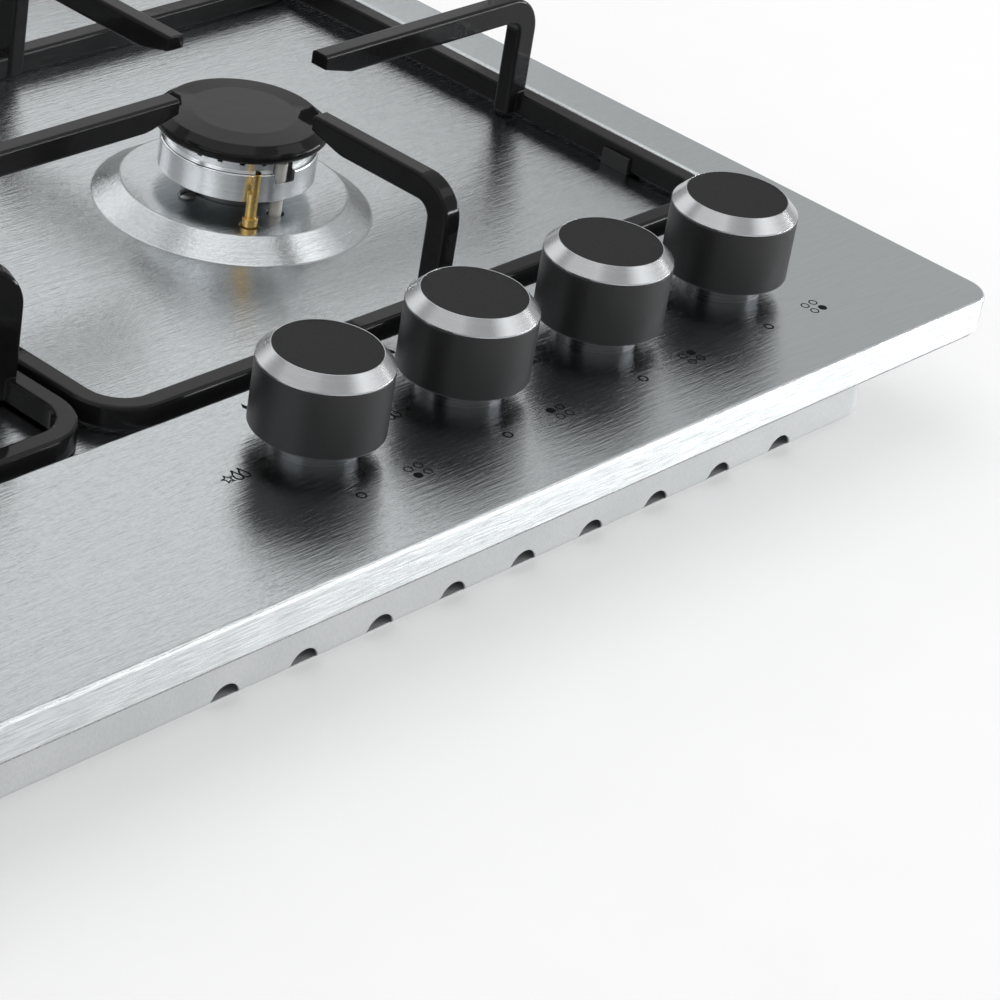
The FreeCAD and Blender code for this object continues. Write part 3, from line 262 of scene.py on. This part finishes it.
def coated(name, low, high, roughness, grain=700, depth=0.04 * MM, edge=0.3 * MM, speck=0.5, **sockets):
    """Paint, enamel or moulded plastic: even colour with faint clouds, specks and orange peel."""
    look = Look(name, **sockets)
    fine = look.grain(grain, 3.0, 0.55)
    cloud = look.grain(30)
    spread = look.math("ADD", look.between(fine, roughness * 0.9, roughness * 1.1),
                       look.between(cloud, -0.015, 0.015))
    return look.set(Base_Color=look.tones(look.between(look.mix(fine, cloud, speck), 0, 1), low, high),
                    Roughness=spread, Normal=look.bump(fine, depth, look.soft_edges(edge))).material


def foam(name, low, high, pores_per_metre=1400, depth=0.2 * MM):
    """Closed-cell foam strip with small pores."""
    look = Look(name)
    place = look.scaled(pores_per_metre, pores_per_metre, pores_per_metre)
    pores = look.node("TexVoronoi", {"Vector": place, "Scale": 1.0}).outputs["Distance"]
    return look.set(Base_Color=look.tones(pores, low, high, top=0.7),
                    Roughness=look.between(pores, 0.9, 0.75, 0, 0.6), Normal=look.bump(pores, depth)).material


FINISHES = {
    "hob_steel": brushed("brushed_steel", colour(174, 178, 180), colour(213, 217, 219), flat=0.15, steep=0.34,
                         anisotropic=0.9, depth=0.18 * MM),
    "pan_paint": coated("pale_powder_coat", colour(191, 194, 195), colour(207, 209, 210), 0.42, grain=1100,
                        depth=0.07 * MM),
    "enamel": coated("black_enamel", colour(21, 21, 22), colour(29, 29, 30), 0.07, grain=160,
                     depth=0.05 * MM, edge=0.8 * MM, speck=0.4, Specular_IOR_Level=0.14),
    "foot_rubber": coated("grate_foot_rubber", colour(24, 24, 25), colour(36, 36, 37), 0.7, grain=1300,
                          depth=0.1 * MM),
    "seal_foam": foam("rim_foam", colour(120, 122, 123), colour(158, 160, 161)),
    "spring_steel": brushed("spring_strip", colour(150, 154, 158), colour(186, 190, 194), flat=0.32,
                            steep=0.32, anisotropic=0.5, depth=0.1 * MM, lines=(30, 1500),
                            direction=(0, 0, 1)),
    "zinc_screws": cast_metal("zinc_plate", colour(122, 124, 125), colour(150, 151, 149), 0.34),
    # The cups' dark base colour is painted shade under the crowns; bare cast aluminium is paler.
    "cast_alloy": cast_metal("cast_aluminium_darkened_as_shade", colour(92, 94, 96), colour(116, 118, 119), 0.46),
    "crown_alloy": turned_metal("polished_aluminium", "burner", colour(228, 231, 233),
                                colour(240, 242, 244), 0.24, anisotropic=0.5, pitch=0.6 * MM,
                                depth=0.01 * MM, vary=0.08),
    "brass": cast_metal("machined_brass", colour(168, 128, 62), colour(205, 166, 92), 0.26),
    "probe_metal": cast_metal("probe_brass", colour(196, 160, 88), colour(222, 190, 120), 0.2, grain=1400,
                              depth=0.008 * MM),
    # The electrode's grey-white is partly its glaze and partly painted shade from the crown's notch.
    "ceramic": coated("glazed_ceramic_greyed_as_shade", colour(190, 189, 185), colour(206, 205, 201), 0.25, grain=500,
                      depth=0.02 * MM),
    "knob_black": coated("satin_black_skirt", colour(28, 28, 29), colour(33, 33, 34), 0.4, grain=1500,
                         depth=0.02 * MM, edge=0.2 * MM, Specular_IOR_Level=0.42),
    "knob_bright": turned_metal("bright_knob_ring", "knob", colour(182, 184, 186), colour(185, 187, 189),
                                0.27, anisotropic=0.75, pitch=1.1 * MM, depth=0.0, vary=0.03),
    "knob_face": coated("knob_face_lacquer", colour(30, 30, 31), colour(35, 35, 36), 0.5, grain=1500,
                        depth=0.01 * MM, edge=0.15 * MM, Specular_IOR_Level=0.12),
    # The bezel's dark base colour is painted reflection and shade from the black knob above it; bare steel is
    # paler.
    "bezel_steel": turned_metal("bezel_steel", "knob", colour(86, 88, 90), colour(106, 108, 110), 0.3,
                                anisotropic=0.85, pitch=0.5 * MM, depth=0.02 * MM),
    "spindle_steel": turned_metal("spindle_steel", "knob", colour(150, 152, 154), colour(186, 188, 190),
                                  0.26, anisotropic=0.4, pitch=0.5 * MM, depth=0.03 * MM),
    "tap_alloy": cast_metal("tap_casting", colour(140, 143, 145), colour(176, 178, 180), 0.4),
    "rail_steel": cast_metal("rail_zinc", colour(158, 162, 164), colour(190, 192, 192), 0.32),
    "tube_alloy": cast_metal("tube_aluminium", colour(176, 179, 182), colour(204, 206, 208), 0.3, grain=500),
    "switch_plastic": coated("switch_case", colour(214, 212, 205), colour(226, 224, 218), 0.45),
    "collar_plastic": coated("switch_collar", colour(170, 40, 34), colour(186, 50, 42), 0.42),
    "module_plastic": coated("spark_unit_case", colour(34, 35, 38), colour(44, 45, 48), 0.5),
    "lead_rubber": coated("silicone_lead", colour(206, 202, 192), colour(220, 217, 208), 0.48, grain=900),
    "loom_rubber": coated("loom_sleeve", colour(26, 26, 28), colour(36, 36, 38), 0.55, grain=900),
    "block_plastic": coated("terminal_block", colour(222, 221, 215), colour(234, 233, 228), 0.4),
    "gland_plastic": coated("gland_nylon", colour(20, 20, 21), colour(28, 28, 29), 0.4),
}
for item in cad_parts.values():
    slot = item.data.materials[0].name.split(".")[0]
    item.data.materials.clear()
    item.data.materials.append(FINISHES[slot])


def placed(name, mesh, finish):
    """A new object from a bmesh, which is used up."""
    bmesh.ops.recalc_face_normals(mesh, faces=mesh.faces[:])
    data = bpy.data.meshes.new(name)
    mesh.to_mesh(data)
    mesh.free()
    data.materials.append(finish)
    made = bpy.data.objects.new(name, data)
    bpy.context.scene.collection.objects.link(made)
    return made


# ---------------------------------------------------------------- printed marks, in mm from a knob's axis
INK = coated("printed_ink", colour(11, 13, 13), colour(18, 20, 20), 0.5, grain=2500, depth=0.01 * MM,
             edge=0.01 * MM, Specular_IOR_Level=0.05)
INK_THICK = 0.03
LINE, STAR_LINE, BOLD_LINE = 0.4, 0.45, 0.55
SHARPEST = 0.45                  # the least cosine by which a mitre is widened

OFF_RING, OFF_RADIUS = (-8.7, -26.7), 1.35
GRID = {"rear_left": (12.4, -24.2), "rear_right": (16.3, -24.2), "front_left": (12.4, -28.0),
        "front_right": (16.3, -28.0)}
GRID_RING, GRID_DOT = 1.25, 1.45
STAR, STAR_REACH, STAR_WAIST = (-33.5, -0.5), 1.8, 0.85
HIGH_FLAMES, HIGH_SIZE = ((-30.1, -0.3), (-27.6, -0.3)), 0.82
LOW_FLAME, LOW_SIZE = (-1.9, 25.5), 0.55
FLAME = ((0.35, 3.0), (-0.15, 1.9), (-1.05, 0.75), (-1.45, -0.7), (-1.1, -2.2), (0.0, -2.9), (1.1, -2.3),
         (1.45, -0.9), (1.0, 0.35), (0.75, 1.6))


def smooth_loop(points, steps=6):
    """Points on a closed Catmull-Rom curve through the given ones."""
    found = []
    for i in range(len(points)):
        before, start, end, after = (Vector(points[(i + k) % len(points)]) for k in (-1, 0, 1, 2))
        for step in range(steps):
            t = step / steps
            found.append(0.5 * (2 * start + (end - before) * t
                                + (2 * before - 5 * start + 4 * end - after) * t ** 2
                                + (3 * start - before - 3 * end + after) * t ** 3))
    return found


def polar(centre, radius, degrees):
    angle = math.radians(degrees)
    return Vector((centre[0] + radius * math.cos(angle), centre[1] + radius * math.sin(angle)))


def ring_points(centre, radius, count=40):
    return [polar(centre, radius, 360 * i / count) for i in range(count)]


def star_points(centre, reach, waist):
    """A five-pointed star with one point up."""
    return [polar(centre, waist if i % 2 else reach, 90 + 36 * i) for i in range(10)]


def flame_points(centre, size):
    return smooth_loop([(centre[0] + x * size, centre[1] + y * size) for x, y in FLAME])


def stroke(mesh, points, width=LINE):
    """A closed flat line of ink along the points, mitred at its corners."""
    sides = []
    for i, point in enumerate(points):
        into = (point - points[i - 1]).normalized()
        out_of = (points[(i + 1) % len(points)] - point).normalized()
        mean = (into + out_of).normalized()
        aside = Vector((-mean.y, mean.x)) * (width / 2 / max(mean.dot(into), SHARPEST))
        sides.append([mesh.verts.new((p.x, p.y, 0)) for p in (point + aside, point - aside)])
    for i, (a, b) in enumerate(sides):
        c, d = sides[(i + 1) % len(sides)]
        mesh.faces.new((a, b, d, c))


def blot(mesh, points):
    """A filled patch of ink inside an outline."""
    mesh.faces.new([mesh.verts.new((p.x, p.y, 0)) for p in points])


def print_marks(name, centre):
    """Off ring, burner grid, star and flames round one knob, as thin pieces of ink on the plate."""
    mesh = bmesh.new()
    stroke(mesh, ring_points(OFF_RING, OFF_RADIUS), BOLD_LINE)
    for burner, spot in GRID.items():
        if burner == name:
            blot(mesh, ring_points(spot, GRID_DOT))
        else:
            stroke(mesh, ring_points(spot, GRID_RING))
    stroke(mesh, star_points(STAR, STAR_REACH, STAR_WAIST), STAR_LINE)
    for spot in HIGH_FLAMES:
        stroke(mesh, flame_points(spot, HIGH_SIZE), BOLD_LINE)
    blot(mesh, flame_points(LOW_FLAME, LOW_SIZE))
    thick = bmesh.ops.extrude_face_region(mesh, geom=mesh.faces[:])
    tops = [v for v in thick["geom"] if isinstance(v, bmesh.types.BMVert)]
    bmesh.ops.translate(mesh, verts=tops, vec=(0, 0, INK_THICK))
    marks = placed("marks_" + name, mesh, INK)
    marks.data.transform(Matrix.Scale(MM, 4))
    marks.data.transform(Matrix.Translation((centre.x, centre.y, PLATE_TOP)))
    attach(marks, "hob")


for name, centre in KNOBS.items():
    print_marks(name, centre)


# ---------------------------------------------------------------- gas inlet thread
THREAD_PITCH = 1.814 * MM
THREAD_ROOT, THREAD_CREST = 10.40 * MM, 10.70 * MM
THREAD_FROM_END = 14.2 * MM, 0.9 * MM    # where it starts and ends, from the inlet's free end
RIDGE_FOOT, RIDGE_TOP = 0.42, 0.06       # half widths of the ridge, in pitches
THREAD_STEPS = 48                        # points per turn


def inlet_thread():
    """Screw thread round the inlet's plain end; it rises from nothing over half a turn at each end."""
    low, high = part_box("gas_inlet")
    start, end = (high.y - back for back in THREAD_FROM_END)
    axis_x, axis_z = (low.x + high.x) / 2, (low.z + high.z) / 2
    steps = ((end - start) / THREAD_PITCH - 1) * THREAD_STEPS
    mesh = bmesh.new()
    rows = []
    for i in range(int(steps) + 1):
        turn = i / THREAD_STEPS
        angle = 2 * math.pi * turn
        y = start + THREAD_PITCH * (0.5 + turn)
        fade = min(1.0, turn * 2, (steps - i) / THREAD_STEPS * 2)
        crest = THREAD_ROOT + (THREAD_CREST - THREAD_ROOT) * fade
        profile = ((THREAD_ROOT, -RIDGE_FOOT), (crest, -RIDGE_TOP), (crest, RIDGE_TOP),
                   (THREAD_ROOT, RIDGE_FOOT))
        rows.append([mesh.verts.new((axis_x + radius * math.cos(angle), y + off * THREAD_PITCH,
                                     axis_z + radius * math.sin(angle))) for radius, off in profile])
    for one, two in zip(rows, rows[1:]):
        for k in range(4):
            mesh.faces.new((one[k], one[(k + 1) % 4], two[(k + 1) % 4], two[k]))
    mesh.faces.new(rows[0])
    mesh.faces.new(rows[-1])
    thread = placed("inlet_thread", mesh, FINISHES["brass"])
    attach(thread, "hob")


inlet_thread()


# ---------------------------------------------------------------- floor, light and camera
FLOOR_REACH = 40.0
FLOOR_GAP = 0.2 * MM             # between the floor and the lowest point of the solids
SHADOW_REACH = 0.4, 0.8          # the shadow fades out between these distances from the middle
WHITE_SHARE = 0.35               # of plain white in the floor under the object
BACKDROP = 0.58

LAMPS = (                        # name, place, aim, width, height in metres, power in watts
    ("overhead", (0.05, 0.25, 1.6), (0.05, 0.25, 0), 1.5, 1.5, 6.2),
    ("back_right", (1.1, 1.2, 1.1), (0.0, -0.1, 0), 1.0, 0.8, 1.3),
    ("back_left", (0.05, 1.3, 0.8), (0.0, -0.1, 0), 0.9, 0.8, 1.9),
    ("front_right", (0.85, -0.85, 1.2), (0.05, -0.05, 0), 1.1, 0.8, 3.3),
    ("low_right", (1.26, -0.98, 0.14), (0.1, -0.2, 0), 1.1, 0.2, 14),
    ("left", (-1.5, 0.1, 0.8), (0, 0, 0), 1.6, 0.8, 5),
)

CAMERA_PLACE = Vector((-638.7, -786.7, 555.0)) * MM
CAMERA_RIGHT = Vector((0.66512, -0.73163, 0.14948))
CAMERA_DOWN = Vector((-0.28688, -0.43517, -0.85342))
CAMERA_AHEAD = Vector((0.68943, 0.52474, -0.49933))
CAMERA_LENS, CAMERA_SENSOR = 135.286, 36
CAMERA_CLIP = 0.05, 50


def floor_finish():
    """A pale matt floor that turns to plain white away from the object, so no lamp's edge is seen on it."""
    look = Look("studio_floor", Roughness=0.85)
    look.set(Base_Color=look.tones(look.between(look.grain(30), 0, 1), grey(0.93), grey(0.95)))
    ray = look.node("LightPath").outputs
    seen = look.math("MAXIMUM", ray["Is Glossy Ray"], ray["Is Transmission Ray"])
    seen = look.math("MAXIMUM", seen, ray["Is Camera Ray"])
    far = look.between(look.length(look.place), WHITE_SHARE, 1, *SHADOW_REACH)
    white = look.node("Emission", {"Color": grey(1), "Strength": 1.0}).outputs[0]
    mixed = look.node("MixShader", [look.math("MULTIPLY", seen, far), look.shader.outputs[0], white])
    look.feed(look.tree.nodes["Material Output"].inputs["Surface"], mixed.outputs[0])
    return look.material


def floor():
    mesh = bmesh.new()
    corners = [(-1, -1), (1, -1), (1, 1), (-1, 1)]
    mesh.faces.new([mesh.verts.new((x * FLOOR_REACH, y * FLOOR_REACH, 0)) for x, y in corners])
    ground = placed("floor", mesh, floor_finish())
    ground.location.z = cad_box[0].z - FLOOR_GAP


def softbox(name, place, aim, width, height, power):
    """A rectangular area lamp that the camera doesn't see."""
    lamp = bpy.data.lights.new(name, "AREA")
    lamp.shape = "RECTANGLE"
    lamp.size, lamp.size_y = width, height
    lamp.energy = power
    box = bpy.data.objects.new(name, lamp)
    bpy.context.scene.collection.objects.link(box)
    box.location = place
    box.rotation_mode = "QUATERNION"
    box.rotation_quaternion = (Vector(aim) - Vector(place)).to_track_quat("-Z", "Y")
    box.visible_camera = False


def backdrop(strength):
    """A pale grey room, the same to the eye, in mirrors and as fill light."""
    world = bpy.data.worlds.new("studio")
    bpy.context.scene.world = world
    world.use_nodes = True
    sky = world.node_tree.nodes["Background"]
    sky.inputs["Color"].default_value = grey(1)
    sky.inputs["Strength"].default_value = strength


def camera():
    data = bpy.data.cameras.new("camera")
    data.sensor_width, data.lens = CAMERA_SENSOR, CAMERA_LENS
    data.clip_start, data.clip_end = CAMERA_CLIP
    made = bpy.data.objects.new("camera", data)
    bpy.context.scene.collection.objects.link(made)
    turn = Matrix((CAMERA_RIGHT, -CAMERA_DOWN, -CAMERA_AHEAD)).transposed().to_4x4()
    made.matrix_world = Matrix.Translation(CAMERA_PLACE) @ turn
    bpy.context.scene.camera = made


floor()
backdrop(BACKDROP)
for lamp in LAMPS:
    softbox(*lamp)
camera()
bpy.context.scene.view_settings.view_transform = "Standard"
